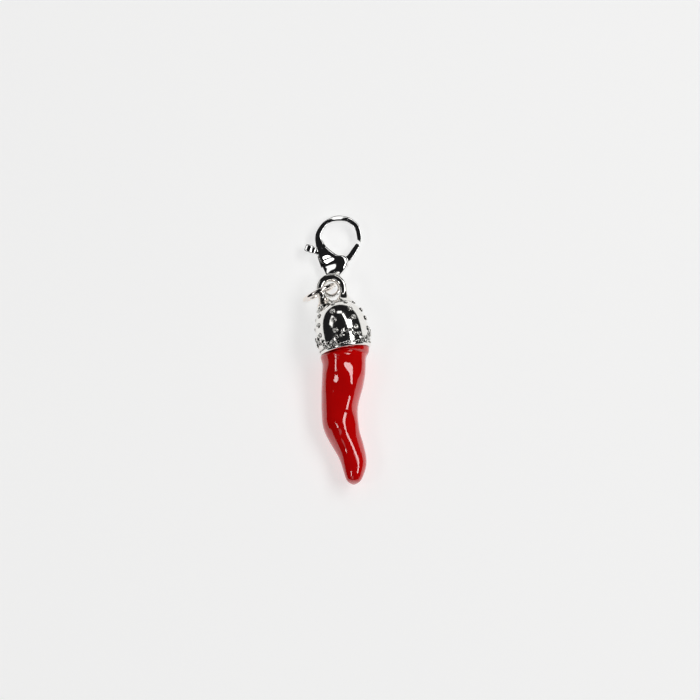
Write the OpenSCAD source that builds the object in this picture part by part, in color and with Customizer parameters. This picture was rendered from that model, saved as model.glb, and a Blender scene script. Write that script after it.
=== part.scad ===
// Horn charm on a lobster clasp, lying flat: enamelled horn, cast cap with bail, jump ring and clasp.
// Millimetres. +Y runs from the horn's tip to the clasp's hook, and z = 0 is the surface it lies on.

/* [Horn] */
// Length of the horn from the cap's rim to its tip
horn_len = 22; // [18:0.1:30]
// Width of the horn where it leaves the cap
horn_w = 8; // [7:0.1:8.4]
// Height of the horn's tip above the surface it lies on
tip_lift = 2.5; // [0.5:0.1:4]
// Width of the peg that seats in the cap
peg_d = 6.2; // [4:0.1:6.6]
// Length of the peg
peg_len = 2.4; // [1:0.1:3.5]

/* [Cap] */
// Widest part of the cap
cap_d = 8.8; // [8.4:0.1:11]
// Width of the cap at its rim
rim_d = 8.2; // [7.8:0.1:8.6]
// Length of the cap from its rim to the top of its dome
cap_len = 8.7; // [7:0.1:11]
// Distance from the rim to the cap's widest part
belly_len = 3.1; // [2:0.1:4]
// Angle that the cap leans away from the Y axis
lean = 11; // [0:1:20]
// Clearance between the horn and the cap, in the socket and at the rim
seat_gap = 0.05; // [0.02:0.01:0.2]
// Thickness of the bead round the rim
rim_bead = 0.6; // [0.3:0.05:0.9]
// Width of a stud
stud_d = 0.95; // [0.6:0.05:1.2]
// Height of a stud above the cap
stud_rise = 0.26; // [0.1:0.01:0.4]
// Width of the leaf garland
garland_d = 0.84; // [0.5:0.02:1.1]

/* [Bail] */
// Outer width of the bail
bail_w = 5.1; // [4.6:0.1:6]
// Thickness of the bail
bail_wire = 1.25; // [0.9:0.05:1.5]
// Distance from the top of the dome to the middle of the bail's round end
bail_rise = 2.2; // [1.6:0.1:3]
// Distance that the bail stands to the left of the cap's axis
bail_shift = 0.35; // [0:0.05:0.8]

/* [Jump ring] */
// Outer width of the jump ring
ring_d = 6.2; // [6:0.1:7]
// Thickness of the ring's wire
ring_wire = 0.75; // [0.5:0.05:0.9]
// Angle of the standing ring from the X axis
ring_turn = 27; // [20:1:34]
// Angle that the ring leans from upright
ring_tilt = 6; // [0:1:10]

/* [Clasp] */
// Length of the clasp from the middle of its eye to the top of its hook
clasp_len = 12.4; // [11:0.1:15]
// Outer width of the hook
loop_w = 7.9; // [7:0.1:9.5]
// Width of the hook's bar at its top
hook_w = 1.05; // [0.8:0.05:1.3]
// Thickness of the hook's bar at its top
hook_t = 1.2; // [0.9:0.05:1.6]
// Widest part of the clasp's body
body_w = 4.4; // [4:0.1:5]
// Thickness of the clasp's body
body_t = 2.9; // [2.5:0.1:3.4]
// Outer width of the clasp's eye
eye_d = 3.55; // [3.3:0.05:4]
// Thickness of the eye's bar
eye_wire = 0.76; // [0.6:0.02:0.9]

/* [Lever] */
// Thickness of the lever
lever_t = 1; // [0.6:0.05:1.2]
// Width of the lever's arms
arm_w = 1; // [0.8:0.05:1.1]
// Clearance round the lever
lever_gap = 0.1; // [0.05:0.01:0.15]
// Angle that the lever opens
lever_open = 30; // [15:1:34]
// Length of the thumb tab
tab_len = 1.9; // [1.4:0.1:2.4]
// Width of the thumb tab
tab_w = 1.45; // [1:0.05:1.6]
// Thickness of the thumb tab
tab_t = 1.9; // [1.2:0.1:2.4]
// Width of the rivet
rivet_d = 0.6; // [0.4:0.05:0.7]
// Clearance of the rivet in the lever
rivet_gap = 0.04; // [0.02:0.01:0.08]

/* [Hidden] */
$fn = 64;

// Sides of a lofted section, and steps of a loft from one row of its table to the next
SIDES = 16;
STEPS = 3;
HORN_SIDES = 24;
// Squareness of a section's corners: 1 is an ellipse, and less is fuller
ROUND = 1;
FULL = 0.5;

silver = [0.82, 0.82, 0.8];
red = [0.7, 0.02, 0.03];

// Rows of the horn: distance from the rim, and shift to the right, as shares of its length;
// width as a share of its width at the rim
HORN = [
    [-0.07, -0.006, 1],
    [0, -0.008, 1],
    [0.025, -0.016, 0.965],
    [0.05, -0.0205, 0.945],
    [0.08, -0.017, 0.915],
    [0.11, -0.015, 0.9],
    [0.17, -0.018, 0.9],
    [0.235, -0.0245, 0.875],
    [0.295, -0.033, 0.845],
    [0.355, -0.042, 0.795],
    [0.42, -0.0485, 0.76],
    [0.48, -0.047, 0.75],
    [0.54, -0.042, 0.755],
    [0.605, -0.028, 0.73],
    [0.665, -0.003, 0.7],
    [0.73, 0.024, 0.64],
    [0.79, 0.047, 0.58],
    [0.855, 0.06, 0.515],
    [0.915, 0.0605, 0.425],
    [0.955, 0.059, 0.345],
    [0.98, 0.058, 0.265],
    [0.994, 0.0575, 0.15],
    [1, 0.0575, 0.03]
];
// Share of the horn's length at which it touches the surface, and how late it rises towards its tip
TOUCH = 0.66;
LATE = 1.6;

// Rows of the hook: angle round the middle of the loop, outer radius as a share of half loop_w,
// width as a share of hook_w, thickness as a share of hook_t
HOOK = [
    [-19.5, 0.985, 0.5, 0.6],
    [-17, 1, 0.66, 0.82],
    [0, 1, 0.68, 0.92],
    [30, 1.015, 0.72, 1],
    [60, 0.99, 0.84, 1],
    [90, 0.955, 1, 1],
    [115, 0.92, 0.82, 1.05],
    [136, 0.91, 0.72, 1.1],
    [160, 0.94, 0.84, 1.2],
    [180, 1, 1.06, 1.4]
];
// Middle of the loop, as shares of loop_w and clasp_len from the middle of the eye
LOOP_MID = [0.152, 0.698];

// Rows of the clasp's body, from the spine down to the eye: x of its outer edge and of its inner edge
// as shares of body_w, their y as shares of clasp_len, thickness as a share of body_t
BODY = [
    [-0.61, 0.617, -0.29, 0.627, 0.7],
    [-0.555, 0.507, -0.11, 0.54, 0.86],
    [-0.48, 0.4, 0.245, 0.445, 0.97],
    [-0.405, 0.323, 0.55, 0.423, 1],
    [-0.35, 0.276, 0.655, 0.337, 1],
    [-0.285, 0.222, 0.55, 0.242, 0.96],
    [-0.19, 0.154, 0.36, 0.16, 0.72],
    [-0.12, 0.105, 0.2, 0.105, 0.3]
];
// Place of the rivet, as shares of body_w and clasp_len, and its length as a share of body_t
RIVET_AT = [0.39, 0.381];
RIVET_LEN = 0.92;

// Rows of the lever's gate arm, from the rivet to the hook's tip: distance, and shift to the right,
// as shares of that distance; width as a share of arm_w
GATE = [
    [0, 0, 0.9],
    [0.17, 0.13, 1],
    [0.38, 0.15, 1],
    [0.66, 0.085, 0.86],
    [0.93, 0.015, 0.66],
    [1, 0, 0.5]
];
// Rows of the thumb tab beyond its arm: distance, width and thickness as shares of the tab's own
TAB = [
    [0, 0.7, 0.56],
    [0.25, 0.92, 0.84],
    [0.5, 1, 1],
    [0.82, 0.92, 0.9],
    [0.96, 0.66, 0.62],
    [1, 0.3, 0.3]
];
// Share of clasp_len at which the thumb tab stands out from the spine, and its distance from the spine
TAB_AT = 0.504;
TAB_GAP = 0.25;
// How far the lever's hub is wider than its arms, on each side of the rivet
HUB_W = 0.1;
// Angles that the lever's slot runs past the gate arm: outwards, to open through the body's side, and
// past the open gate
SLOT_OUT = 65;
SLOT_PAST = 8;
// Steps of the slot's round side, and places of the tab arm's sections between the rivet and the tab
SWING_STEPS = 4;
ARM_AT = [0, 0.3, 0.6, 0.9];

// Studs: rows as shares of cap_len, columns round the cap, and the angle of the first column
STUD_ROWS = [0.34, 0.54, 0.72, 0.885];
STUD_COLUMNS = 8;
STUD_START = -16;
// Garland: knots round the cap, swags, angle of the first peak, and its low and high places
KNOTS = 36;
SWAGS = 4;
PEAK_AT = 9;
GARLAND_LOW = 0.1;
GARLAND_HIGH = 0.29;
// Foot of each bail leg: place as shares of the bail's radius and of bail_rise below the dome's top,
// radius as a share of bail_wire, and share of the leg that flares; width of the ball at the leg's top
// as a share of bail_wire
BAIL_FOOT = [0.76, 0.3];
BAIL_FOOT_R = 1.2;
BAIL_FLARE = 0.55;
BAIL_JOINT = 1.04;
// Fullness of the dome: 2 is an ellipse, and more is squarer
DOME = 2.3;
DOME_STEPS = 18;
BELLY_STEPS = 6;
// Distance over which the slope of the cap's wall is taken
SLOPE_OVER = 0.1;
// How far the rim bead's middle lies inside the rim, as a share of its thickness
BEAD_IN = 0.2;
// Overrun of a cut past the face that it opens through
OVERRUN = 1;

// Heights of the axes above the surface
cap_z = cap_d / 2 + stud_rise;
clasp_z = body_t / 2;
ring_r = (ring_d - ring_wire) / 2;

// The ring stands on the surface, or hangs on the bail where that is higher than the ring can reach
RING_OVER = 0.13;
ring_z = max(
    ring_r * cos(ring_tilt) + ring_wire / 2,
    cap_z + bail_wire / 2 + RING_OVER + ring_wire / 2 - ring_r * cos(ring_tilt)
);

// The bail's middle, from the middle of the rim
bail_r = (bail_w - bail_wire) / 2;
bail_at = cap_len + bail_rise;
bail_mid = [
    -bail_shift * cos(lean) - bail_at * sin(lean),
    bail_at * cos(lean) - bail_shift * sin(lean)
];

// The ring stands in the bail's hole and in the eye's hole: how far past the bail's middle its wire
// comes up, how far inside the hole's edge, and how far short of the eye's middle it goes down
RING_IN_BAIL = 0.25;
RING_INSIDE = 0.44;
RING_IN_EYE = 0.1;
ring_dir = [cos(ring_turn), sin(ring_turn)];
ring_side = [-sin(ring_turn), cos(ring_turn)];
bail_hole = bail_w / 2 - bail_wire;
ring_rise = cap_z - ring_z;
ring_mid = bail_mid
    + ring_side * (bail_hole - ring_wire / 2 - RING_INSIDE + ring_rise * sin(ring_tilt))
    - ring_dir * (sqrt(ring_r * ring_r - ring_rise * ring_rise) - RING_IN_BAIL);

// The clasp's eye stands round the ring's wire
eye_drop = ring_z - clasp_z;
eye_mid = ring_mid
    + ring_dir * (sqrt(ring_r * ring_r - eye_drop * eye_drop) + RING_IN_EYE)
    + ring_side * eye_drop * sin(ring_tilt);

// The whole lies with its middle at the origin
left = min(eye_mid.x + tab_end().x, (ring_mid - ring_dir * ring_d / 2).x);
right = (cap_d / 2 + stud_rise) * cos(lean) - belly_len * sin(lean);
middle = [(left + right) / 2, (eye_mid.y + hook_top() - horn_len) / 2];

// A number's power with its sign kept
function bulge(v, power) = sign(v) * pow(abs(v), power);

// A place on the smooth curve that passes through all rows, t counting rows from the first
function on_curve(rows, t) =
    let (
        last = len(rows) - 1,
        i = min(floor(t), last - 1),
        f = t - i,
        a = rows[max(i - 1, 0)],
        b = rows[i],
        c = rows[i + 1],
        d = rows[min(i + 2, last)]
    )
    b + f / 2 * (c - a + f * (2 * a - 5 * b + 4 * c - d + f * (3 * (b - c) + d - a)));

function smooth(rows, steps = STEPS) =
    [for (k = [0:(len(rows) - 1) * steps]) on_curve(rows, k / steps)];

// Rows of x, y, width, height of the middle and thickness, as sections square to their own path:
// the two ends of each section on plan, then height and thickness
function square_to_path(rows) = [
    for (k = [0:len(rows) - 1])
        let (
            r = rows[k],
            way = rows[min(k + 1, len(rows) - 1)] - rows[max(k - 1, 0)],
            turn = [-way.y, way.x] / norm([way.x, way.y]) * r[2] / 2
        )
        [r.x + turn.x, r.y + turn.y, r.x - turn.x, r.y - turn.y, r[3], r[4]]
];

function section(row, sides, power) = [
    for (k = [0:sides - 1])
        let (
            angle = 360 * (k + 0.5) / sides,
            c = bulge(cos(angle), power),
            s = bulge(sin(angle), power)
        )
        [
            (row[0] + row[2] + (row[2] - row[0]) * c) / 2,
            (row[1] + row[3] + (row[3] - row[1]) * c) / 2,
            row[4] + row[5] / 2 * s
        ]
];

// A closed solid through sections, each given as its two ends on plan, its height and its thickness
module loft(rows, sides = SIDES, power = ROUND) {
    last = len(rows) - 1;
    points = [for (row = rows) each section(row, sides, power)];
    walls = [
        for (k = [0:last - 1])
            for (j = [0:sides - 1])
                let (a = k * sides + j, b = k * sides + (j + 1) % sides)
                each [[a, b, a + sides], [b, b + sides, a + sides]]
    ];
    first_end = [for (j = [sides - 1:-1:0]) j];
    last_end = [for (j = [0:sides - 1]) last * sides + j];
    polyhedron(points, concat([first_end], walls, [last_end]));
}

module ring_of(mean_r, wire) {
    rotate_extrude() translate([mean_r, 0]) circle(d = wire);
}

// Places the whole so that its middle is at the origin, from the middle of the rim on the surface
module place() {
    translate([-middle.x, -middle.y, 0]) children();
}

// The cap's own axes: +Z along its axis from the rim to the dome, and -Y upwards
module on_cap() {
    translate([0, 0, cap_z]) rotate([-90, 0, lean]) children();
}

module on_eye() {
    translate([eye_mid.x, eye_mid.y, clasp_z]) children();
}

// Height of the horn's middle: level with the cap's axis at the rim, lowest at TOUCH, then up to the tip
function horn_z(share, radius) =
    share < TOUCH
    ? radius + (cap_z - horn_w / 2) * pow(1 - max(share, 0) / TOUCH, 2)
    : radius + tip_lift * pow((share - TOUCH) / (1 - TOUCH), LATE);

// The horn's sections are level with the X axis, and as thick as the horn is across its own slant
function horn_rows() =
    let (rows = smooth(HORN, 2), last = len(rows) - 1)
    [
        for (k = [0:last])
            let (
                r = rows[k],
                way = rows[min(k + 1, last)] - rows[max(k - 1, 0)],
                width = r[2] * horn_w,
                thick = width * way[0] / norm([way[0], way[1]]),
                x = r[1] * horn_len,
                y = -r[0] * horn_len
            )
            [x + width / 2, y, x - width / 2, y, horn_z(r[0], thick / 2), thick]
    ];

module horn() {
    color(red) place() {
        difference() {
            loft(horn_rows(), HORN_SIDES);
            on_cap() translate([-cap_d, -cap_d, -seat_gap]) cube([2 * cap_d, 2 * cap_d, cap_len]);
        }
        on_cap() translate([0, 0, -2 * seat_gap]) cylinder(d = peg_d, h = peg_len + 2 * seat_gap);
    }
}

// Radius of the cap at a distance from its rim
function cap_r(along) =
    along < belly_len
    ? rim_d / 2 + (cap_d - rim_d) / 2 * sin(90 * along / belly_len)
    : cap_d / 2 * pow(max(1 - pow((along - belly_len) / (cap_len - belly_len), DOME), 0), 1 / DOME);

// Slope of the cap's wall: the angle of its outward normal above the horizontal of its axis
function cap_slope(along) =
    atan2(cap_r(along - SLOPE_OVER / 2) - cap_r(along + SLOPE_OVER / 2), SLOPE_OVER);

// A ball that stands a given height out of the cap's wall
module boss(along, angle, d, rise) {
    slope = cap_slope(along);
    out = cap_r(along) + (rise - d / 2) * cos(slope);
    rotate(angle) translate([0, -out, along + (rise - d / 2) * sin(slope)]) sphere(d = d);
}

module cap_shell() {
    outline = [
        for (k = [0:BELLY_STEPS]) let (y = belly_len * k / BELLY_STEPS) [cap_r(y), y],
        for (k = [1:DOME_STEPS])
            let (y = belly_len + (cap_len - belly_len) * sin(90 * k / DOME_STEPS)) [cap_r(y), y]
    ];
    rotate_extrude() polygon(concat([[0, 0]], outline));
    translate([0, 0, rim_bead / 2]) ring_of(rim_d / 2 - rim_bead * BEAD_IN, rim_bead);
}

// The bail's legs lean together and flare into the dome; a ball joins each of them to the round end
module bail() {
    foot = [BAIL_FOOT.x * bail_r, cap_len - BAIL_FOOT.y * bail_rise];
    way = [bail_r - foot.x, bail_at - foot.y];
    translate([-bail_shift, 0, bail_at]) rotate([90, 0, 0])
        rotate_extrude(angle = 180) translate([bail_r, 0]) circle(d = bail_wire);
    for (side = [-1, 1]) {
        translate([side * bail_r - bail_shift, 0, bail_at]) sphere(d = BAIL_JOINT * bail_wire);
        translate([side * foot.x - bail_shift, 0, foot.y])
            rotate([0, side * atan2(way.x, way.y), 0])
                rotate_extrude() polygon([
                    [0, 0],
                    [BAIL_FOOT_R * bail_wire, 0],
                    [bail_wire / 2, norm(way) * BAIL_FLARE],
                    [bail_wire / 2, norm(way)],
                    [0, norm(way)]
                ]);
    }
}

module studs() {
    for (row = STUD_ROWS)
        for (k = [0:STUD_COLUMNS - 1])
            boss(row * cap_len, STUD_START + 360 * k / STUD_COLUMNS, stud_d, stud_rise);
}

module garland() {
    for (k = [0:KNOTS - 1]) {
        angle = PEAK_AT + 360 * k / KNOTS;
        high = (1 + cos(SWAGS * (angle - PEAK_AT))) / 2;
        boss((GARLAND_LOW + (GARLAND_HIGH - GARLAND_LOW) * high) * cap_len, angle, garland_d, stud_rise);
    }
}

module cap() {
    color(silver) place() on_cap() difference() {
        union() {
            cap_shell();
            bail();
            studs();
            garland();
        }
        translate([0, 0, -OVERRUN])
            cylinder(d = peg_d + 2 * seat_gap, h = peg_len + seat_gap + OVERRUN);
    }
}

module jump_ring() {
    color(silver) place() translate([ring_mid.x, ring_mid.y, ring_z])
        rotate([90 + ring_tilt, 0, ring_turn]) ring_of(ring_r, ring_wire);
}

// Middle of the loop, and places on the hook, from the middle of the eye
function loop_mid() = [LOOP_MID.x * loop_w, LOOP_MID.y * clasp_len];
function hook_row(r) =
    let (
        out = r[1] * loop_w / 2,
        way = [cos(r[0]), sin(r[0])],
        outer = loop_mid() + way * out,
        inner = loop_mid() + way * (out - r[2] * hook_w)
    )
    [inner.x, inner.y, outer.x, outer.y, 0, r[3] * hook_t];
function hook_top() = loop_mid().y + max([for (r = HOOK) r[1] * sin(r[0])]) * loop_w / 2;

function body_row(r) =
    [r[2] * body_w, r[3] * clasp_len, r[0] * body_w, r[1] * clasp_len, 0, r[4] * body_t];

function rivet_at() = [RIVET_AT.x * body_w, RIVET_AT.y * clasp_len];

// The gate's end stands a clearance below the middle of the hook's tip
function hook_tip() =
    let (r = hook_row(HOOK[0])) [(r[0] + r[2]) / 2, (r[1] + r[3]) / 2];
function gate_tip() =
    hook_tip() + lever_gap * [sin(HOOK[0][0]), -cos(HOOK[0][0])];

// The thumb tab starts where it clears the spine's outer edge, in line with the rivet
function spine_x(share) = lookup(share, [for (r = BODY) [r[1], r[0]]]) * body_w;
function tab_root() = [spine_x(TAB_AT) - TAB_GAP, TAB_AT * clasp_len];
function tab_way() = (tab_root() - rivet_at()) / norm(tab_root() - rivet_at());
function tab_end() = tab_root() + tab_way() * tab_len;

function along_line(from, to, share, side) =
    let (way = to - from) from + way * share + [way.y, -way.x] * side;

// Room on plan for an arm that swings about the origin from one angle to another
module swing(from, to, half, reach) {
    for (angle = [from, to])
        rotate(angle) translate([0, -half]) square([reach, 2 * half]);
    polygon([
        [0, 0],
        for (k = [0:SWING_STEPS])
            let (angle = from + (to - from) * k / SWING_STEPS) reach * [cos(angle), sin(angle)]
    ]);
}

function angle_of(way) = atan2(way.y, way.x);

module lever_room() {
    gate = angle_of(gate_tip() - rivet_at());
    tab = angle_of(tab_way());
    half = arm_w / 2 + lever_gap;
    room = lever_t + 2 * lever_gap;
    past_spine = norm(tab_root() - rivet_at()) + arm_w / 2;
    translate([rivet_at().x, rivet_at().y, -room / 2]) {
        linear_extrude(room) swing(gate - SLOT_OUT, gate + lever_open + SLOT_PAST, half, body_w);
        linear_extrude(room) swing(tab, tab + lever_open, half, past_spine);
        cylinder(r = half + HUB_W, h = room);
    }
}

module rivet_hole(clearance) {
    translate([rivet_at().x, rivet_at().y, -body_t])
        cylinder(d = rivet_d + 2 * clearance, h = 2 * body_t);
}

module clasp_body() {
    color(silver) place() on_eye() difference() {
        union() {
            loft(smooth(concat(
                [for (r = HOOK) hook_row(r)],
                [for (r = BODY) body_row(r)]
            )), SIDES, FULL);
            ring_of((eye_d - eye_wire) / 2, eye_wire);
        }
        lever_room();
        rivet_hole(0);
    }
}

function arm_row(at, width) = [at.x, at.y, width, 0, lever_t];

module clasp_lever() {
    gate = [
        for (r = GATE)
            arm_row(along_line(rivet_at(), gate_tip(), r[0], r[1]), r[2] * arm_w)
    ];
    arm = [
        for (share = ARM_AT)
            arm_row(along_line(rivet_at(), tab_root(), share, 0), arm_w)
    ];
    tab = [
        for (r = TAB)
            let (at = tab_root() + tab_way() * tab_len * r[0])
            [at.x, at.y, r[1] * tab_w, 0, r[2] * tab_t]
    ];
    color(silver) place() on_eye() difference() {
        union() {
            loft(square_to_path(smooth(gate)), SIDES, FULL);
            loft(square_to_path(smooth(concat(arm, tab), 2)), SIDES, FULL);
            translate([rivet_at().x, rivet_at().y, -lever_t / 2])
                cylinder(r = arm_w / 2 + HUB_W, h = lever_t);
        }
        rivet_hole(rivet_gap);
    }
}

module clasp_rivet() {
    color(silver) place() on_eye() translate([rivet_at().x, rivet_at().y, -body_t * RIVET_LEN / 2])
        cylinder(d = rivet_d, h = body_t * RIVET_LEN);
}

horn();
cap();
jump_ring();
clasp_body();
clasp_lever();
clasp_rivet();
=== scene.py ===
"""Looks of the horn charm on its lobster clasp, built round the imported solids."""

import math

import bmesh
import bpy
from mathutils import Euler, Matrix, Vector


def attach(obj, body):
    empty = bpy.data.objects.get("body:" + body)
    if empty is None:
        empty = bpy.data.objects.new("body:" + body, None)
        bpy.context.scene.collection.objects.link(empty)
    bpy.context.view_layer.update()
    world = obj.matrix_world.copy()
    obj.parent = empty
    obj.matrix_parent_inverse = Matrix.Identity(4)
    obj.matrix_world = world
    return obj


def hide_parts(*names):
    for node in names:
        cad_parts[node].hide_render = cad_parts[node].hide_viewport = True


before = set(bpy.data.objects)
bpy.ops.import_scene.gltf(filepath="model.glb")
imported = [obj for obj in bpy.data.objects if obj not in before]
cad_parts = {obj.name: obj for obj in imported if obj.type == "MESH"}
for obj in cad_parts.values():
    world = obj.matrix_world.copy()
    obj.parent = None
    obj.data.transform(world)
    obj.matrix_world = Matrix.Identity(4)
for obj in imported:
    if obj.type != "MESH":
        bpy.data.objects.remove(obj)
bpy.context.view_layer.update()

MM = 0.001

# Sizes in millimetres and angles in degrees, as the solids have them
HORN_LEN, HORN_W, TIP_LIFT = 22.0, 8.0, 2.5
# Share of the horn's length where it touches the table, and how late its tip rises from there
TOUCH, LATE = 0.66, 1.6
CAP_D, RIM_D, CAP_LEN, BELLY, LEAN = 8.8, 8.2, 8.7, 3.1, 11.0
RIM_BEAD, STUD_RISE = 0.6, 0.26
# Squareness of the cap's dome: 2 is round, and more is squarer
DOME = 2.3
BAIL_W, BAIL_WIRE, BAIL_RISE, BAIL_SHIFT = 5.1, 1.25, 2.2, 0.35
RING_D, RING_WIRE, RING_TURN, RING_TILT = 6.2, 0.75, 27.0, 6.0
CLASP_LEN, LOOP_W, HOOK_W, HOOK_T = 12.4, 7.9, 1.05, 1.2
BODY_W, BODY_T, EYE_D, EYE_WIRE = 4.4, 2.9, 3.55, 0.76
LEVER_T, ARM_W, LEVER_GAP, LEVER_OPEN = 1.0, 1.0, 0.1, 30.0
TAB_LEN, TAB_W, TAB_T, TAB_AT, TAB_OFF = 1.9, 1.45, 1.9, 0.504, 0.25
# The lever's hub past its arms, and its slot's turn outwards and past its travel
HUB, SLOT_OUT, SLOT_PAST = 0.1, 65.0, 8.0
RIVET_D, RIVET_TALL = 0.6, 0.92 * BODY_T

# Where the pieces stand in the shared frame
RIM_AT = Vector((1.62811, -0.96525, CAP_D / 2 + STUD_RISE))
RING_AT = Vector((-2.8485, 9.3505, 3.085))
EYE_AT = Vector((-0.89501, 10.53780, BODY_T / 2))
RIVET = Vector((0.39 * BODY_W, 0.381 * CLASP_LEN))

# Rows of the horn: distance from the rim, shift to the right, width, as shares
HORN = [
    (-0.07, -0.006, 1), (0, -0.008, 1), (0.025, -0.016, 0.965), (0.05, -0.0205, 0.945),
    (0.08, -0.017, 0.915), (0.11, -0.015, 0.9), (0.17, -0.018, 0.9), (0.235, -0.0245, 0.875),
    (0.295, -0.033, 0.845), (0.355, -0.042, 0.795), (0.42, -0.0485, 0.76), (0.48, -0.047, 0.75),
    (0.54, -0.042, 0.755), (0.605, -0.028, 0.73), (0.665, -0.003, 0.7), (0.73, 0.024, 0.64),
    (0.79, 0.047, 0.58), (0.855, 0.06, 0.515), (0.915, 0.0605, 0.425), (0.955, 0.059, 0.345),
    (0.98, 0.058, 0.265), (0.994, 0.0575, 0.15), (1, 0.0575, 0.03),
]
# Lumps in the horn's upper side: share of its length, place across as a share of its half width, and
# height in millimetres, where a hollow is negative; and how far a lump reaches
LUMPS = [
    (0.06, 0.7, -0.2),
    (0.14, -0.25, 0.1), (0.14, 0.25, -0.45), (0.14, 0.7, -0.15),
    (0.21, -0.7, -0.15), (0.21, -0.25, -0.25), (0.21, 0.25, 0.1),
    (0.29, -0.25, -0.2), (0.29, 0.25, -0.1), (0.29, 0.7, 0.2),
    (0.37, 0.25, -0.15), (0.37, 0.7, 0.2),
    (0.45, 0.25, 0.1), (0.45, 0.7, 0.3),
    (0.52, 0.25, -0.2), (0.52, 0.7, -0.25),
    (0.6, -0.7, -0.2), (0.6, -0.25, 0.2), (0.6, 0.25, 0.2), (0.6, 0.7, -0.15),
    (0.68, -0.7, 0.15), (0.68, 0, 0.15),
    (0.75, 0, 0.15), (0.83, 0, -0.1),
    (0.91, -0.7, -0.1), (0.91, 0.7, 0.05),
]
LUMP_REACH = 1.15
# Shares of the half width where the lumps start to fade, and over which they do
FADE_FROM, FADE_OVER = 0.6, 0.38
# Height of the horn's collar as a share of its width
COLLAR = 0.92
# Share of the length up to which small waves are averaged out
EVEN_TO = 0.95
HORN_SIDES, HORN_STEPS = 96, 8
# Lowest height of the horn's surface over the table, and its end's gap to the cap's rim
HORN_CLEAR, RIM_GAP = 0.03, 0.05

# The socket under the cap, the lip at its mouth, and the flat of the rim
SOCKET_R, SOCKET_DEEP, LIP_W, LIP_TALL = 3.15, 2.2, 0.05, 0.25
RIM_FLAT, RIM_DROP = 0.2, 0.02
# Heights of the cap's lower rings, and the number above its belly
LOWER_RINGS, DOME_STEPS = (0.62, 0.8, 1.1, 1.5, 2.0, 2.5, BELLY), 40
# Radius at the point of a turned shape
POINT_R = 0.01
# The bail's legs: how far in and down a foot stands as shares, and how early the leg bends out
FOOT_IN, FOOT_DOWN, LEG_CURVE = 0.76, 0.3, 0.7
# How much wider a leg is at its foot, and the share of the leg over which that wears off
BAIL_FLARE, FLARE_TO = 1.25, 0.75
LEG_STEPS, CROWN_STEPS = 14, 40
# Squareness of the bail's section: 1 is round, and less is fuller
BAIL_FULL = 0.74

# Rows of rosettes: height on the cap as a share, and size
ROSETTES = [(0.34, 0.4), (0.54, 0.4), (0.72, 0.4), (0.885, 0.32)]
ROSETTES_ROUND, ROSETTE_TURN = 8, -16
# A rosette's curl: its start and turn in degrees, last radius as a share, wire, lift and climb
CURL_START, CURL_TURN, CURL_END = -60, 430, 0.42
CURL_WIRE, CURL_LIFT, CURL_CLIMB, CURL_STEPS = 0.14, 0.07, 0.06, 25
# The small ball in a curl
SEED_R, SEED_TALL, SEED_LIFT = 0.15, 0.14, 0.08

# The garland: its number of swags, where one is highest in degrees, and its lowest and highest place
SWAGS, SWAG_TURN, SWAG_LOW, SWAG_HIGH = 4, 9, 0.1, 0.29
# Its leaves: their number, length, half width and height
LEAVES, LEAF_LEN, LEAF_HALF, LEAF_RISE = 48, 0.95, 0.24, 0.26
# How far a leaf leans from the garland's line in degrees, and stands off it
LEAF_LEAN, LEAF_OFF = 38, 0.32
# Across a leaf: place as a share of its half width, and height as a share of its rise
LEAF_ACROSS = [
    (-1, -0.35), (-0.6, 0.35), (-0.15, 0.1), (0, 0.55), (0.15, 0.1), (0.6, 0.35), (1, -0.35), (0, -0.8),
]
# A leaf's thickness as a share of its rise, and the half width that it keeps at its ends
LEAF_THICK, LEAF_END, LEAF_STEPS = 0.6, 0.015, 8
# The rope under the garland: its height, and the height and number of its waves
LOW_ROPE_AT, LOW_ROPE_WAVE, LOW_ROPE_WAVES = 0.085 * CAP_LEN, 0.05, 12

# The cut in the jump ring: its place and half its width, in degrees
CUT_AT, CUT_HALF, RING_STEPS = 200, 0.7, 160

# Squareness of the clasp's sections: 1 is an ellipse, and less is fuller
FULL = 0.32
# How far inside the middle the facet of the clasp's body starts, as a share of the half width
FACET_AT = 0.15
CLASP_SIDES, CLASP_STEPS = 56, 9
LEVER_SIDES, GATE_STEPS, TAB_STEPS = 40, 8, 12
# Rows of the hook: angle, outer radius, width and thickness as shares, and lean of the top
HOOK = [
    (-19.5, 0.985, 0.55, 0.6, 0), (-17, 1, 0.74, 0.82, 0), (0, 1, 0.82, 0.92, 0),
    (30, 1.015, 0.88, 1, 0.06), (60, 0.99, 0.94, 1, 0.22), (90, 0.955, 1, 1, 0.3),
    (115, 0.92, 0.82, 1.05, 0.24), (136, 0.91, 0.8, 1.1, 0), (160, 0.94, 0.92, 1.2, 0),
    (180, 1, 1.06, 1.4, 0),
]
LOOP_MID = (0.152 * LOOP_W, 0.698 * CLASP_LEN)
# Rows of the body: x and y of its outer and inner edge and thickness as shares, and its facet's slope
BODY = [
    (-0.61, 0.617, -0.29, 0.627, 0.6, 0), (-0.555, 0.507, -0.11, 0.54, 0.78, 0.4),
    (-0.48, 0.4, 0.245, 0.445, 0.93, 0.4), (-0.405, 0.323, 0.55, 0.423, 1, 0.4),
    (-0.35, 0.276, 0.655, 0.337, 1, 0.4), (-0.285, 0.222, 0.55, 0.242, 0.96, 0.38),
    (-0.19, 0.154, 0.36, 0.16, 0.72, 0.2), (-0.12, 0.105, 0.2, 0.105, 0.28, 0),
]
# Rows of the gate: share of the way from the rivet to the hook, bow outwards, and width
GATE = [
    (0, 0, 0.9), (0.17, 0.13, 1), (0.38, 0.15, 1), (0.66, 0.085, 1), (0.93, 0.015, 0.86),
    (1, 0, 0.66),
]
# Places of the arm's sections between the rivet and the tab
ARM_AT = [0, 0.3, 0.6, 0.9]
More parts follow.
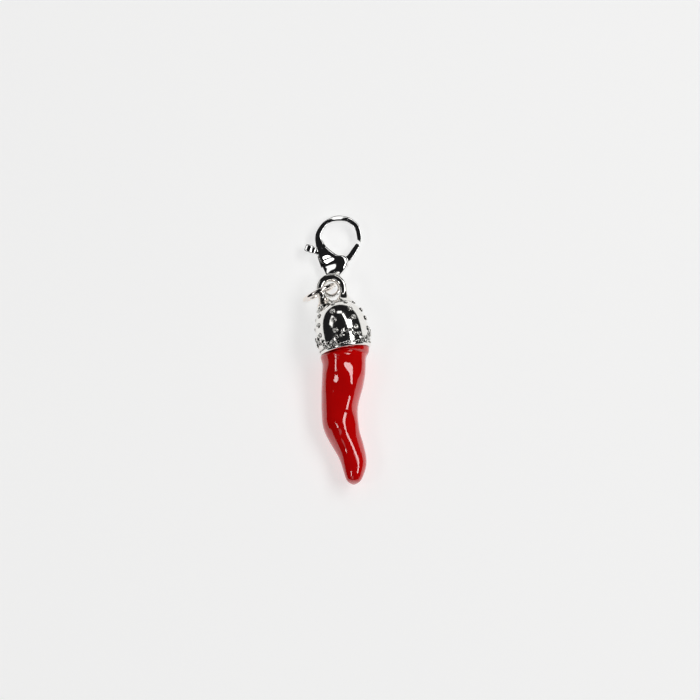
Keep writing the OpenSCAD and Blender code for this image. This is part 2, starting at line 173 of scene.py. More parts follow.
# Rows of the tab: share of its length, width and thickness
TAB = [
    (0, 0.7, 0.56), (0.25, 0.92, 0.84), (0.5, 1, 1), (0.82, 0.92, 0.9), (0.96, 0.66, 0.62),
    (1, 0.3, 0.3),
]
# The tab's grip: where it starts and ends, its ridges' pitch, and its grooves' depth at sides and top
GRIP_FROM, GRIP_TO, GRIP_PITCH, GROOVE_SIDE, GROOVE_TOP = 0.3, 0.95, 0.2, 0.03, 0.048
# The rivet's heads: radius of their flat as a share, and how far they round off on it and at the edge
HEAD_FLAT, HEAD_DROP, HEAD_EDGE = 0.7, 0.03, 0.12

# Lights: name, azimuth and elevation in degrees, width and height in metres, power in watts, and spin
LIGHTS = [
    ("left softbox", -159, 50, 0.2, 0.14, 0.45, -20),
    ("right softbox", 12.5, 53.5, 0.7, 0.21, 2.5, -12),
    ("back strip", 61, 54.5, 0.5, 0.1, 0.35, -33),
    ("back softbox", 96, 39, 0.25, 0.12, 0.12, 0),
    ("front softbox", -120, 43.5, 0.32, 0.43, 0.25, 29),
    ("left strip", 150, 42, 0.36, 0.2, 0.25, 0),
]
# Distance of every light from the charm in metres, and the colour of the dark room round it
LIGHT_FAR = 0.8
ROOM = (0.012, 0.012, 0.013, 1)

# The camera: what it looks at, its height in degrees, the width of its view, its lens and its sensor
AIM = Vector((2.278, 0.247, 0))
VIEW_HIGH, VIEW_W, LENS, SENSOR = 78, 116.67, 180, 36
FLOOR_HALF = 1500


# Curves and sections

def lerp(a, b, t):
    return a + (b - a) * t


def on_curve(rows, t):
    """A row on the smooth curve through all rows, t counting them from the first."""
    last = len(rows) - 1
    i = min(int(t), last - 1)
    f = t - i
    a, b, c, d = rows[max(i - 1, 0)], rows[i], rows[i + 1], rows[min(i + 2, last)]
    return [q + f / 2 * (r - p + f * (2 * p - 5 * q + 4 * r - s + f * (3 * (q - r) + s - p)))
            for p, q, r, s in zip(a, b, c, d)]


def smooth(rows, steps):
    return [on_curve(rows, k / steps) for k in range((len(rows) - 1) * steps + 1)]


def square_to_path(rows):
    """Rows of x, y, width, height, thickness as the two ends of each section on plan."""
    out = []
    for k, (x, y, width, z, thick) in enumerate(rows):
        a, b = rows[max(k - 1, 0)], rows[min(k + 1, len(rows) - 1)]
        way = Vector((b[0] - a[0], b[1] - a[1])).normalized()
        out.append((x - way.y * width / 2, y + way.x * width / 2,
                    x + way.y * width / 2, y - way.x * width / 2, z, thick))
    return out


def bulge(v, power):
    """A sine or cosine pushed outwards, for a section fuller than round."""
    return math.copysign(abs(v) ** power, v)


def section(row, sides, power):
    """A section between two ends on plan.

    Its top may lean, falling all the way to the second end, or slope, falling only from FACET_AT on.
    """
    x1, y1, x2, y2, z, thick, lean, slope = (*row, 0, 0)[:8]
    half = math.hypot(x2 - x1, y2 - y1) / 2
    ring = []
    for k in range(sides):
        c = math.cos(2 * math.pi * (k + 0.5) / sides)
        s = math.copysign((1 - abs(c) ** (2 / power)) ** (power / 2), sides / 2 - k - 0.5)
        fall = lean * (c + 1) * half + slope * max(0, c + FACET_AT) * half
        high = z + thick / 2 * s - max(s, 0) ** 0.5 * fall
        ring.append(Vector(((x1 + x2 + (x2 - x1) * c) / 2, (y1 + y2 + (y2 - y1) * c) / 2, high)))
    return ring


def loft(rings, closed=False):
    """Vertices and faces of a skin through rings of points, with flat ends unless it closes."""
    sides, count = len(rings[0]), len(rings)
    verts = [p for ring in rings for p in ring]
    faces = []
    for k in range(count if closed else count - 1):
        for j in range(sides):
            a, b = k * sides + j, k * sides + (j + 1) % sides
            c, d = ((k + 1) % count) * sides + (j + 1) % sides, ((k + 1) % count) * sides + j
            faces.append((a, b, c, d))
    if not closed:
        faces.append(tuple(range(sides - 1, -1, -1)))
        faces.append(tuple(range((count - 1) * sides, count * sides)))
    return verts, faces


def tube(path, radii, sides=12, closed=False, power=1.0, up=None):
    """A tube along a path with a radius at each point, round or with a fuller section."""
    rings = []
    count = len(path)
    for k, p in enumerate(path):
        a = path[(k - 1) % count] if closed else path[max(k - 1, 0)]
        b = path[(k + 1) % count] if closed else path[min(k + 1, count - 1)]
        way = (b - a).normalized()
        n = up[k] if up else Vector((0, 0, 1))
        n = (n - way * n.dot(way)).normalized()
        side = way.cross(n)
        rings.append([p + (side * bulge(math.cos(t), power) + n * bulge(math.sin(t), power)) * radii[k]
                      for t in (2 * math.pi * j / sides for j in range(sides))])
    return loft(rings, closed)


def around(radius, count, z=0.0):
    """Points evenly round the z axis."""
    turns = (2 * math.pi * k / count for k in range(count))
    return [Vector((radius * math.cos(a), radius * math.sin(a), z)) for a in turns]


def revolve(outline, sides=128):
    """A turned shape from rows of radius and height."""
    return loft([around(r, sides, z) for r, z in outline])


def prism(outline, low, high):
    """A straight block on an outline."""
    count = len(outline)
    verts = [Vector((x, y, z)) for z in (low, high) for x, y in outline]
    faces = [tuple(range(count - 1, -1, -1)), tuple(range(count, 2 * count))]
    faces += [(k, (k + 1) % count, count + (k + 1) % count, count + k) for k in range(count)]
    return verts, faces


def merge(parts):
    """Several shapes as one."""
    verts, faces = [], []
    for v, f in parts:
        base = len(verts)
        verts += v
        faces += [tuple(i + base for i in face) for face in f]
    return verts, faces


def outward(obj):
    """Turns the faces of a closed mesh outwards."""
    bm = bmesh.new()
    bm.from_mesh(obj.data)
    bmesh.ops.recalc_face_normals(bm, faces=bm.faces)
    bm.to_mesh(obj.data)
    bm.free()


def rough_cut(name, shape):
    """A mesh in millimetres, in its own axes, that isn't a piece yet."""
    verts, faces = shape
    mesh = bpy.data.meshes.new(name)
    mesh.from_pydata(verts, [], faces)
    obj = bpy.data.objects.new(name, mesh)
    bpy.context.collection.objects.link(obj)
    outward(obj)
    return obj


def set_piece(obj, place, material, body="charm", replaces=(), sharp=None):
    """Puts a rough cut in its place in the shared frame, in metres, and gives it finish and body."""
    obj.data.transform(Matrix.Scale(MM, 4) @ place)
    obj.data.materials.clear()
    obj.data.materials.append(material)
    obj.data.shade_smooth()
    if sharp:
        obj.data.set_sharp_from_angle(angle=math.radians(sharp))
    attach(obj, body)
    if replaces:
        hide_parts(*replaces)


def combine(obj, other, how):
    """Joins another rough cut to this one, or cuts it away."""
    mod = obj.modifiers.new(how, "BOOLEAN")
    mod.operation, mod.solver, mod.object = how, "EXACT", other
    graph = bpy.context.evaluated_depsgraph_get()
    mesh = bpy.data.meshes.new_from_object(obj.evaluated_get(graph))
    obj.modifiers.clear()
    obj.data = mesh
    bpy.data.objects.remove(other)


def turned(place, x, z):
    """A frame at a place, turned about x and then about z."""
    turn = Euler((math.radians(x), 0, math.radians(z)), "XYZ")
    return Matrix.Translation(place) @ turn.to_matrix().to_4x4()


AT_RIM = turned(RIM_AT, -90, LEAN)
AT_RING = turned(RING_AT, 90 + RING_TILT, RING_TURN)
AT_EYE = Matrix.Translation(EYE_AT)
AT_HOME = Matrix.Translation((RIM_AT.x, RIM_AT.y, 0))


# Materials

def socket_group(name, inputs, outputs):
    tree = bpy.data.node_groups.new(name, "ShaderNodeTree")
    for label, kind, value in inputs:
        s = tree.interface.new_socket(label, in_out="INPUT", socket_type=kind)
        s.default_value = value
    for label, kind in outputs:
        tree.interface.new_socket(label, in_out="OUTPUT", socket_type=kind)
    return tree, tree.nodes.new("NodeGroupInput"), tree.nodes.new("NodeGroupOutput")


def node(tree, kind, **values):
    n = tree.nodes.new("ShaderNode" + kind)
    for key, value in values.items():
        if hasattr(n, key):
            setattr(n, key, value)
        else:
            n.inputs[key.replace("_", " ")].default_value = value
    return n


def ramp(tree, source, low, high, a=0.0, b=1.0):
    """Source, from low to high, mapped to a..b and held there."""
    n = tree.nodes.new("ShaderNodeMapRange")
    n.inputs["From Min"].default_value, n.inputs["From Max"].default_value = low, high
    n.inputs["To Min"].default_value, n.inputs["To Max"].default_value = a, b
    tree.links.new(source, n.inputs["Value"])
    return n.outputs["Result"]


def handling_group():
    """Marks of use: hair scratches and a soft ripple as height, and haze as a mask."""
    tree, gin, gout = socket_group(
        "handling marks",
        [("Scratches per mm", "NodeSocketFloat", 6.0), ("Ripple per mm", "NodeSocketFloat", 0.4)],
        [("Scratches", "NodeSocketFloat"), ("Ripple", "NodeSocketFloat"), ("Haze", "NodeSocketFloat")],
    )
    link = tree.links.new
    place = node(tree, "TexCoord").outputs["Object"]
    per_metre = []
    for label in ("Scratches per mm", "Ripple per mm"):
        scale = node(tree, "Math", operation="MULTIPLY")
        link(gin.outputs[label], scale.inputs[0])
        scale.inputs[1].default_value = 1 / MM
        per_metre.append(scale.outputs[0])
    stretch = node(tree, "Mapping")
    stretch.inputs["Scale"].default_value = (1.0, 0.08, 0.5)
    stretch.inputs["Rotation"].default_value = (0.3, 0.2, 0.6)
    link(place, stretch.inputs["Vector"])
    hair = node(tree, "TexNoise", Detail=2.0)
    link(stretch.outputs["Vector"], hair.inputs["Vector"])
    link(per_metre[0], hair.inputs["Scale"])
    link(ramp(tree, hair.outputs["Fac"], 0.62, 0.7), gout.inputs["Scratches"])
    swell = node(tree, "TexNoise", Detail=1.0)
    link(place, swell.inputs["Vector"])
    link(per_metre[1], swell.inputs["Scale"])
    link(swell.outputs["Fac"], gout.inputs["Ripple"])
    cloud = node(tree, "TexNoise", Detail=4.0)
    link(place, cloud.inputs["Vector"])
    link(per_metre[0], cloud.inputs["Scale"])
    link(ramp(tree, cloud.outputs["Fac"], 0.35, 0.75), gout.inputs["Haze"])
    return tree


HANDLING = handling_group()


def blend(tree, factor, low, high):
    """A mix of two colours by a mask."""
    mix = node(tree, "Mix", data_type="RGBA")
    mix.inputs["A"].default_value = (*low, 1)
    mix.inputs["B"].default_value = (*high, 1)
    tree.links.new(factor, mix.inputs["Factor"])
    return mix.outputs["Result"]


def marked(name, scratches, ripple, scratch_deep, ripple_deep):
    """A material with its shader and its marks of use; negative depths are cut in."""
    mat = bpy.data.materials.new(name)
    mat.use_nodes = True
    tree = mat.node_tree
    shader = tree.nodes["Principled BSDF"]
    marks = tree.nodes.new("ShaderNodeGroup")
    marks.node_tree = HANDLING
    marks.inputs["Scratches per mm"].default_value = scratches
    marks.inputs["Ripple per mm"].default_value = ripple
    soft = node(tree, "Bump", Strength=1.0, Distance=ripple_deep * MM)
    fine = node(tree, "Bump", Strength=1.0, Distance=scratch_deep * MM)
    tree.links.new(marks.outputs["Ripple"], soft.inputs["Height"])
    tree.links.new(marks.outputs["Scratches"], fine.inputs["Height"])
    tree.links.new(soft.outputs["Normal"], fine.inputs["Normal"])
    tree.links.new(fine.outputs["Normal"], shader.inputs["Normal"])
    return mat, tree, shader, marks


def polished(name, light, dark, rough, ripple_deep, recess_shade=0.0):
    """Plated or cast metal: bright, hazed a little by handling, with painted shade darkening its recesses.
    """
    mat, tree, shader, marks = marked(
        name, scratches=5.0, ripple=0.35, scratch_deep=-0.0006, ripple_deep=ripple_deep)
    link = tree.links.new
    haze = marks.outputs["Haze"]
    shader.inputs["Metallic"].default_value = 1.0
    colour = blend(tree, ramp(tree, haze, 0.0, 1.0, 0.0, 0.5), light, dark)
    if recess_shade:
        # Painted shade: the colour turns dark brown where ambient occlusion finds a recess
        recess_shade_ao = node(tree, "AmbientOcclusion", samples=6)
        recess_shade_ao.inputs["Distance"].default_value = 0.5 * MM
        deep = node(tree, "Mix", data_type="RGBA")
        deep.inputs["A"].default_value = (0.09, 0.085, 0.075, 1)
        link(ramp(tree, recess_shade_ao.outputs["AO"], 0.35, 0.35 + recess_shade), deep.inputs["Factor"])
        link(colour, deep.inputs["B"])
        colour = deep.outputs["Result"]
    link(colour, shader.inputs["Base Color"])
    link(ramp(tree, haze, 0.0, 1.0, rough, rough * 2.2), shader.inputs["Roughness"])
    return mat


def enamel(name, bright, deep):
    """Glossy enamel, a little deeper where it has run thick, under a clear coat."""
    mat, tree, shader, marks = marked(
        name, scratches=3.0, ripple=0.55, scratch_deep=-0.0004, ripple_deep=0.006)
    link = tree.links.new
    link(blend(tree, marks.outputs["Ripple"], bright, deep), shader.inputs["Base Color"])
    link(ramp(tree, marks.outputs["Haze"], 0.0, 1.0, 0.02, 0.06), shader.inputs["Roughness"])
    shader.inputs["IOR"].default_value = 1.6
    shader.inputs["Coat Weight"].default_value = 0.85
    shader.inputs["Coat Roughness"].default_value = 0.02
    return mat


def table_paint(name, light, dark):
    """A matt white table that glows a little, so that its shadows stay pale."""
    mat = bpy.data.materials.new(name)
    mat.use_nodes = True
    tree = mat.node_tree
    shader = tree.nodes["Principled BSDF"]
    tone = node(tree, "TexNoise", Scale=12.0, Detail=2.0)
    tree.links.new(node(tree, "TexCoord").outputs["Object"], tone.inputs["Vector"])
    shader.inputs["Base Color"].default_value = (0.5, 0.5, 0.497, 1)
    shader.inputs["Roughness"].default_value = 0.7
    shader.inputs["Specular IOR Level"].default_value = 0.2
    tree.links.new(blend(tree, tone.outputs["Fac"], light, dark), shader.inputs["Emission Color"])
    shader.inputs["Emission Strength"].default_value = 0.72
    return mat


# The cast silver gets painted shade in its recesses
CAST = polished("polished cast silver", light=(0.93, 0.92, 0.89), dark=(0.80, 0.78, 0.74),
                rough=0.06, ripple_deep=0.03, recess_shade=0.4)
PLATED = polished("bright clasp plating", light=(0.92, 0.92, 0.91), dark=(0.82, 0.82, 0.81),
                  rough=0.03, ripple_deep=0.02)
WIRE = polished("plated wire", light=(0.93, 0.88, 0.84), dark=(0.78, 0.70, 0.64),
                rough=0.05, ripple_deep=0.01)
RED = enamel("red enamel", bright=(0.93, 0.002, 0.002), deep=(0.82, 0.0, 0.0))


# The horn

def horn_height(share, radius):
    """Height of the horn's middle line, down from the rim to the table and up again to the tip."""
    if share < TOUCH:
        return radius + (RIM_AT.z - HORN_W / 2) * (1 - max(share, 0) / TOUCH) ** 2
    return radius + TIP_LIFT * ((share - TOUCH) / (1 - TOUCH)) ** LATE


def horn_at(share):
    """Middle and half width of the horn on plan at a share of its length."""
    for a, b in zip(HORN, HORN[1:]):
        if share <= b[0]:
            t = (share - a[0]) / (b[0] - a[0])
            return lerp(a[1], b[1], t) * HORN_LEN, lerp(a[2], b[2], t) * HORN_W / 2
    return HORN[-1][1] * HORN_LEN, HORN[-1][2] * HORN_W / 2


def lump_places():
    """Place on plan and height of each lump, in millimetres."""
    out = []
    for share, across, height in LUMPS:
        mid, half = horn_at(share)
        out.append((mid + across * half, -share * HORN_LEN, height))
    return out


def evened(rows, passes=3):
    """Rows with small waves averaged out, short of the tip."""
    for _ in range(passes):
        rows = [[(a + 2 * b + 3 * c + 2 * d + e) / 9 for a, b, c, d, e in zip(*rows[k - 2:k + 3])]
                if 1 < k < len(rows) - 2 and row[0] < EVEN_TO else row for k, row in enumerate(rows)]
    return rows


def horn_rings():
    """Sections of the horn, square to its axis in thickness, with the lumps in their upper side."""
    rows = evened(smooth(HORN, HORN_STEPS))
    lumps = lump_places()
    rings = []
    for k, (along, shift, width) in enumerate(rows):
        a, b = rows[max(k - 1, 0)], rows[min(k + 1, len(rows) - 1)]
        way = Vector((b[0] - a[0], b[1] - a[1]))
        width *= HORN_W
        thick = min(width, COLLAR * HORN_W) * way.x / way.length
        x, y = shift * HORN_LEN, -along * HORN_LEN
        row = (x + width / 2, y, x - width / 2, y, horn_height(along, thick / 2), thick)
        ring = section(row, HORN_SIDES, 1.0)
        mid = sum(ring, Vector()) / len(ring)
        for p in ring:
            edge = min(max((abs(p.x - mid.x) / (width / 2) - FADE_FROM) / FADE_OVER, 0), 1)
            if p.z > mid.z and edge < 1:
                swell = sum(high * math.exp(-((p.x - lx) ** 2 + (p.y - ly) ** 2) / (2 * LUMP_REACH ** 2))
                            for lx, ly, high in lumps)
                p.z += swell * (1 - edge * edge * (3 - 2 * edge))
            p.z = max(p.z, HORN_CLEAR)
        rings.append(ring)
    return rings


def build_horn():
    obj = rough_cut("horn_enamel", loft(horn_rings()))
    span = 2 * CAP_D
    verts, faces = prism([(-span, -span), (span, -span), (span, span), (-span, span)], -RIM_GAP, CAP_LEN)
    to_horn = AT_HOME.inverted() @ AT_RIM
    combine(obj, rough_cut("cut", ([to_horn @ v for v in verts], faces)), "DIFFERENCE")
    set_piece(obj, AT_HOME, RED, replaces=("horn",), sharp=50)


# The cap

def cap_r(along):
    """Radius of the cap at a height over its rim."""
    if along < BELLY:
        return RIM_D / 2 + (CAP_D - RIM_D) / 2 * math.sin(math.pi / 2 * along / BELLY)
    return CAP_D / 2 * max(1 - ((along - BELLY) / (CAP_LEN - BELLY)) ** DOME, 0) ** (1 / DOME)


def cap_point(along, turn):
    """A point on the cap and its outward normal, turn in degrees round the cap's axis."""
    near = 0.05
    slope = math.atan2(cap_r(along - near) - cap_r(along + near), 2 * near)
    a = math.radians(turn)
    way = Vector((math.sin(a), -math.cos(a), 0))
    n = way * math.cos(slope) + Vector((0, 0, math.sin(slope)))
    return way * cap_r(along) + Vector((0, 0, along)), n


def build_cap():
    """The cap's skin, turned from its socket round the rolled rim and up over the dome."""
    outline = [(SOCKET_R, SOCKET_DEEP), (SOCKET_R, LIP_TALL), (SOCKET_R + LIP_W, 0.0)]
    outline.append((RIM_D / 2 - RIM_FLAT, -RIM_DROP))
    mid, bead = RIM_D / 2 - RIM_BEAD / 5, RIM_BEAD / 2
    for t in range(15, 150, 15):
        a = math.radians(t)
        outline.append((mid + bead * math.sin(a), bead - bead * math.cos(a)))
    outline += [(cap_r(z), z) for z in LOWER_RINGS]
    for k in range(1, DOME_STEPS):
        z = BELLY + (CAP_LEN - BELLY) * math.sin(math.pi / 2 * k / DOME_STEPS)
        outline.append((cap_r(z), z))
    outline.append((POINT_R, CAP_LEN))
    obj = rough_cut("cap_dome", revolve(outline))
    set_piece(obj, AT_RIM, CAST, replaces=("cap",), sharp=60)


def build_bail():
    """The bail from foot to foot: a leg, the round crown, and the leg's mirror image."""
    r = (BAIL_W - BAIL_WIRE) / 2
    at = CAP_LEN + BAIL_RISE
    foot = Vector((FOOT_IN * r, CAP_LEN - FOOT_DOWN * BAIL_RISE))
    leg = []
    for k in range(LEG_STEPS + 1):
        t = k / LEG_STEPS
        p = Vector((lerp(foot.x, r, t ** LEG_CURVE), 0, lerp(foot.y, at, t)))
        leg.append((p, BAIL_WIRE / 2 + BAIL_FLARE * max(0, 1 - t / FLARE_TO) ** 2))
    crown = []
    for k in range(1, CROWN_STEPS):
        a = math.pi * k / CROWN_STEPS
        crown.append((Vector((r * math.cos(a), 0, at + r * math.sin(a))), BAIL_WIRE / 2))
    other = [(Vector((-p.x, 0, p.z)), wide) for p, wide in reversed(leg)]
    path, radii = zip(*leg, *crown, *other)
    up = [Vector((0, 1, 0))] * len(path)
    obj = rough_cut("cap_bail", tube(path, radii, 40, power=BAIL_FULL, up=up))
    place = AT_RIM @ Matrix.Translation((-BAIL_SHIFT, 0, 0))
    set_piece(obj, place, CAST)


def rosette(along, turn, size, hand):
    """A curl of wire on the cap round a small ball, as two shapes."""
    mid, n = cap_point(along, turn)
    side = Vector((0, 0, 1)).cross(n).normalized()
    fore = n.cross(side).normalized()
    path, radii = [], []
    for k in range(CURL_STEPS + 1):
        t = k / CURL_STEPS
        a = hand * math.radians(CURL_START + CURL_TURN * t)
        r = size * lerp(1.0, CURL_END, t)
        path.append(mid + (side * math.cos(a) + fore * math.sin(a)) * r + n * (CURL_LIFT + CURL_CLIMB * t))
        # The wire starts thin and soon has its full radius
        radii.append(CURL_WIRE * min(1, 0.45 + 4 * t))
    curl = tube(path, radii, 10, up=[n] * len(path))
    ball = []
    for k in range(7):
        a = math.pi / 2 * lerp(-0.99, 0.99, k / 6)
        centre = mid + n * (SEED_LIFT + SEED_TALL * math.sin(a))
        ball.append([centre + side * p.x + fore * p.y for p in around(SEED_R * math.cos(a), 12)])
    return [curl, loft(ball)]


def build_rosettes():
    parts = []
    for i, (row, size) in enumerate(ROSETTES):
        for k in range(ROSETTES_ROUND):
            turn = ROSETTE_TURN + 360 / ROSETTES_ROUND * k
            parts += rosette(row * CAP_LEN, turn, size, 1 if (i + k) % 2 else -1)
    set_piece(rough_cut("cap_rosettes", merge(parts)), AT_RIM, CAST)


def swag(turn):
    """Height of the garland at an angle round the cap."""
    high = (1 + math.cos(math.radians(SWAGS * (turn - SWAG_TURN)))) / 2
    return lerp(SWAG_LOW, SWAG_HIGH, high) * CAP_LEN


def low_rope(turn):
    """Height of the lower rope at an angle round the cap."""
    return LOW_ROPE_AT + LOW_ROPE_WAVE * math.sin(math.radians(LOW_ROPE_WAVES * turn))


def leaf(mid, n, way):
    """A pointed leaf with a raised rib, lying on the cap."""
    side = n.cross(way).normalized()
    rings = []
    for k in range(LEAF_STEPS + 1):
        t = k / LEAF_STEPS
        half = LEAF_HALF * math.sin(math.pi * min(1, 0.08 + 0.92 * t) ** 0.8) + LEAF_END
        rise = LEAF_RISE * (0.55 + 0.45 * math.sin(math.pi * t))
        p = mid + way * (LEAF_LEN * (t - 0.5)) + n * rise
        rings.append([p + side * (across * half) + n * (high * LEAF_RISE * LEAF_THICK)
                      for across, high in LEAF_ACROSS])
    return loft(rings)


def rope(height, lift, wire, strand, pitch, count=360):
    """A twisted rope round the cap: its height by angle, lift, radius, and its strands' swell and pitch."""
    path, radii, ups = [], [], []
    for k in range(count):
        turn = 360 * k / count
        mid, n = cap_point(height(turn), turn)
        path.append(mid + n * lift)
        radii.append(wire + strand * math.sin(2 * math.pi * k / pitch))
        ups.append(n)
    return tube(path, radii, 8, closed=True, up=ups)


def build_garland():
    parts = []
    for k in range(LEAVES):
        turn = SWAG_TURN + 360 * k / LEAVES
        mid, n = cap_point(swag(turn), turn)
        ahead, _ = cap_point(swag(turn + 2), turn + 2)
        way = (ahead - mid).normalized()
        side = n.cross(way).normalized()
        hand = 1 if k % 2 else -1
        lean = math.radians(hand * LEAF_LEAN)
        tilt = (way * math.cos(lean) + side * math.sin(lean)).normalized()
        parts.append(leaf(mid + side * (hand * LEAF_OFF), n, tilt))
    parts.append(rope(swag, lift=0.1, wire=0.1, strand=0.035, pitch=5))
    parts.append(rope(low_rope, lift=0.06, wire=0.1, strand=0.03, pitch=6))
    set_piece(rough_cut("cap_garland", merge(parts)), AT_RIM, CAST)


# The jump ring

def build_ring():
    """The ring's wire, round from one side of its cut to the other."""
    r = (RING_D - RING_WIRE) / 2
    path = []
    for k in range(RING_STEPS + 1):
        a = math.radians(CUT_AT + CUT_HALF + (360 - 2 * CUT_HALF) * k / RING_STEPS)
        path.append(Vector((r * math.cos(a), r * math.sin(a), 0)))
    obj = rough_cut("jump_ring_wire", tube(path, [RING_WIRE / 2] * len(path), 24))
    set_piece(obj, AT_RING, WIRE, replaces=("jump_ring",), sharp=50)


# The clasp

def bearing(way):
    """Angle of a direction on plan, in degrees."""
    return math.degrees(math.atan2(way.y, way.x))


def toward(angle):
    """Direction on plan of an angle in degrees."""
    return Vector((math.cos(math.radians(angle)), math.sin(math.radians(angle))))


def hook_row(row):
    """A row of the hook as a section between its inner and its outer edge."""
    angle, radius, width, thick, lean = row
    out = radius * LOOP_W / 2
    outer = Vector(LOOP_MID) + toward(angle) * out
    inner = Vector(LOOP_MID) + toward(angle) * (out - width * HOOK_W)
    return inner.x, inner.y, outer.x, outer.y, 0, thick * HOOK_T, lean, 0


def body_row(row):
    """A row of the body as a section between its inner and its outer edge."""
    x1, y1, x2, y2, thick, slope = row
    return x2 * BODY_W, y2 * CLASP_LEN, x1 * BODY_W, y1 * CLASP_LEN, 0, thick * BODY_T, 0, slope


def gate_tip():
    """Where the gate ends, a gap short of the hook's tip."""
    x1, y1, x2, y2 = hook_row(HOOK[0])[:4]
    a = math.radians(HOOK[0][0])
    return Vector(((x1 + x2) / 2, (y1 + y2) / 2)) + LEVER_GAP * Vector((math.sin(a), -math.cos(a)))


def tab_root():
    """Where the lever's tab leaves the body, just inside its outer edge."""
    edge = [(row[1], row[0]) for row in BODY]
    for (y1, x1), (y2, x2) in zip(edge, edge[1:]):
        if y2 <= TAB_AT <= y1:
            x = lerp(x1, x2, (TAB_AT - y1) / (y2 - y1)) * BODY_W
            return Vector((x - TAB_OFF, TAB_AT * CLASP_LEN))


TAB_ROOT = tab_root()
TAB_WAY = (TAB_ROOT - RIVET).normalized()


def arm_room(angle, half, reach):
    """Outline of an arm's room at one angle about the rivet."""
    end, side = RIVET + toward(angle) * reach, toward(angle + 90) * half
    return [RIVET - side, end - side, end + side, RIVET + side]


def sweep_room(start, end, reach):
    """Outline of the fan between two angles about the rivet."""
    return [RIVET] + [RIVET + toward(lerp(start, end, k / 12)) * reach for k in range(13)]


def circle_room(radius):
    return [RIVET + p.xy for p in around(radius, 48)]


def build_clasp():
    rows = smooth([hook_row(r) for r in HOOK] + [body_row(r) for r in BODY], CLASP_STEPS)
    obj = rough_cut("clasp_casting", loft([section(r, CLASP_SIDES, FULL) for r in rows]))
    path = around((EYE_D - EYE_WIRE) / 2, 96)
    eye = tube(path, [EYE_WIRE / 2] * len(path), 32, closed=True)
    combine(obj, rough_cut("eye", eye), "UNION")
    # The slot leaves room for the lever's two arms over their whole travel
    half = ARM_W / 2 + LEVER_GAP
    room = LEVER_T / 2 + LEVER_GAP
    gate, tab = bearing(gate_tip() - RIVET), bearing(TAB_WAY)
    reach = (TAB_ROOT - RIVET).length + ARM_W / 2
    sweeps = [(gate - SLOT_OUT, gate + LEVER_OPEN + SLOT_PAST, BODY_W), (tab, tab + LEVER_OPEN, reach)]
    cuts = [circle_room(half + HUB)]
    for start, end, far in sweeps:
        cuts += [arm_room(start, half, far), arm_room(end, half, far), sweep_room(start, end, far)]
    for outline in cuts:
        combine(obj, rough_cut("cut", prism(outline, -room, room)), "DIFFERENCE")
    set_piece(obj, AT_EYE, PLATED, replaces=("clasp_body",), sharp=38)


def gate_bar():
    """The lever's gate, from the rivet to the hook."""
    way = gate_tip() - RIVET
    across = Vector((way.y, -way.x))
    rows = [(*(RIVET + way * s + across * bow), w * ARM_W, 0, LEVER_T) for s, bow, w in GATE]
    return loft([section(r, LEVER_SIDES, FULL) for r in square_to_path(smooth(rows, GATE_STEPS))])


def tab_bar():
    """The lever's other arm with its thumb tab, ridged for grip."""
    rows = [(*(RIVET + (TAB_ROOT - RIVET) * s), ARM_W, 0, LEVER_T) for s in ARM_AT]
    rows += [(*(TAB_ROOT + TAB_WAY * TAB_LEN * s), w * TAB_W, 0, t * TAB_T) for s, w, t in TAB]
    ridged = []
    for k, (x, y, width, z, thick) in enumerate(smooth(rows, TAB_STEPS)):
        s = (k / TAB_STEPS - len(ARM_AT)) / (len(TAB) - 1)
        if GRIP_FROM < s < GRIP_TO:
            groove = 0.5 - 0.5 * math.cos(2 * math.pi * (s - GRIP_FROM) / GRIP_PITCH)
            width -= GROOVE_SIDE * groove
            thick -= GROOVE_TOP * groove
        ridged.append((x, y, width, z, thick))
    return loft([section(r, LEVER_SIDES, FULL) for r in square_to_path(ridged)])


def build_lever():
    obj = rough_cut("lever_casting", gate_bar())
    combine(obj, rough_cut("arm", tab_bar()), "UNION")
    hub = prism(circle_room(ARM_W / 2 + HUB), -LEVER_T / 2, LEVER_T / 2)
    combine(obj, rough_cut("hub", hub), "UNION")
    set_piece(obj, AT_EYE, PLATED, "lever", ("clasp_lever",), 38)


def build_rivet():
    half, r = RIVET_TALL / 2, RIVET_D / 2
    head = [(POINT_R, half), (r * HEAD_FLAT, half - HEAD_DROP), (r, half - HEAD_EDGE)]
    outline = [(x, -z) for x, z in head] + head[::-1]
    place = AT_EYE @ Matrix.Translation((RIVET.x, RIVET.y, 0))
    obj = rough_cut("rivet_pin", revolve(outline, 40))
    set_piece(obj, place, PLATED, replaces=("clasp_rivet",), sharp=50)


# Floor, lights and camera

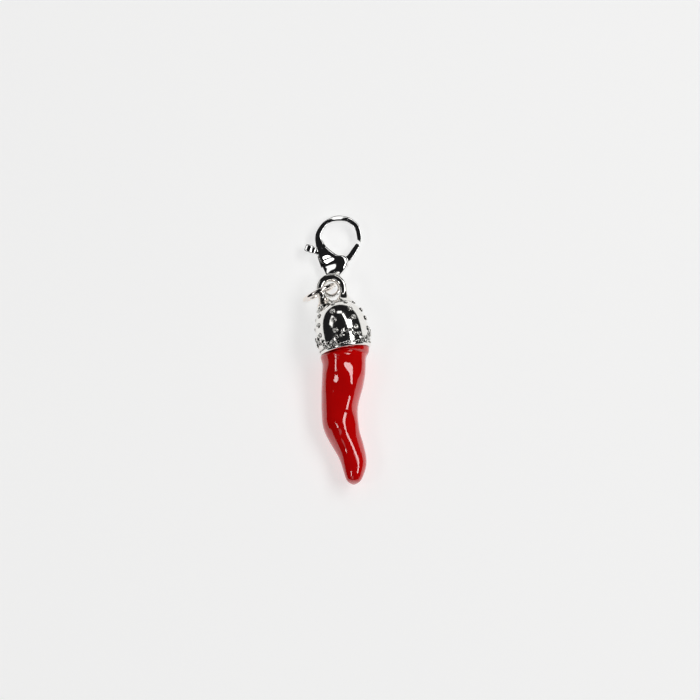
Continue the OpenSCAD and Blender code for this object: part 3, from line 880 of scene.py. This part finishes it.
def build_floor():
    corners = [Vector((x * FLOOR_HALF, y * FLOOR_HALF, 0)) for x, y in ((-1, -1), (1, -1), (1, 1), (-1, 1))]
    obj = rough_cut("floor", (corners, [(0, 1, 2, 3)]))
    obj.data.transform(Matrix.Scale(MM, 4))
    obj.data.materials.append(table_paint("matt white table", (0.90, 0.90, 0.895), (0.88, 0.88, 0.88)))


def softbox(name, azimuth, elevation, width, height, power, spin):
    """An area light that faces the charm; azimuth 0 is to the right and 90 behind the clasp."""
    a, e = math.radians(azimuth), math.radians(elevation)
    way = Vector((math.cos(a) * math.cos(e), math.sin(a) * math.cos(e), math.sin(e)))
    light = bpy.data.lights.new(name, "AREA")
    light.shape = "RECTANGLE"
    light.size, light.size_y, light.energy = width, height, power
    obj = bpy.data.objects.new(name, light)
    bpy.context.collection.objects.link(obj)
    obj.location = way * LIGHT_FAR
    obj.rotation_mode = "QUATERNION"
    facing = way.to_track_quat("Z", "Y")
    obj.rotation_quaternion = facing @ Euler((0, 0, math.radians(spin))).to_quaternion()


def build_light():
    for row in LIGHTS:
        softbox(*row)
    world = bpy.data.worlds.new("dark room")
    bpy.context.scene.world = world
    world.use_nodes = True
    background = world.node_tree.nodes["Background"]
    background.inputs["Color"].default_value = ROOM
    background.inputs["Strength"].default_value = 1.0


def build_camera():
    e = math.radians(VIEW_HIGH)
    back = Vector((0, -math.cos(e), math.sin(e)))
    data = bpy.data.cameras.new("camera")
    data.lens, data.sensor_width = LENS, SENSOR
    data.clip_start, data.clip_end = 0.01, 10
    cam = bpy.data.objects.new("camera", data)
    bpy.context.collection.objects.link(cam)
    cam.location = (AIM + back * (VIEW_W * LENS / SENSOR)) * MM
    cam.rotation_mode = "QUATERNION"
    cam.rotation_quaternion = (-back).to_track_quat("-Z", "Y")
    bpy.context.scene.camera = cam


build_horn()
build_cap()
build_bail()
build_rosettes()
build_garland()
build_ring()
build_clasp()
build_lever()
build_rivet()
build_floor()
build_light()
build_camera()
bpy.context.scene.view_settings.view_transform = "Standard"
bpy.context.scene.view_settings.look = "None"

bpy.context.view_layer.update()
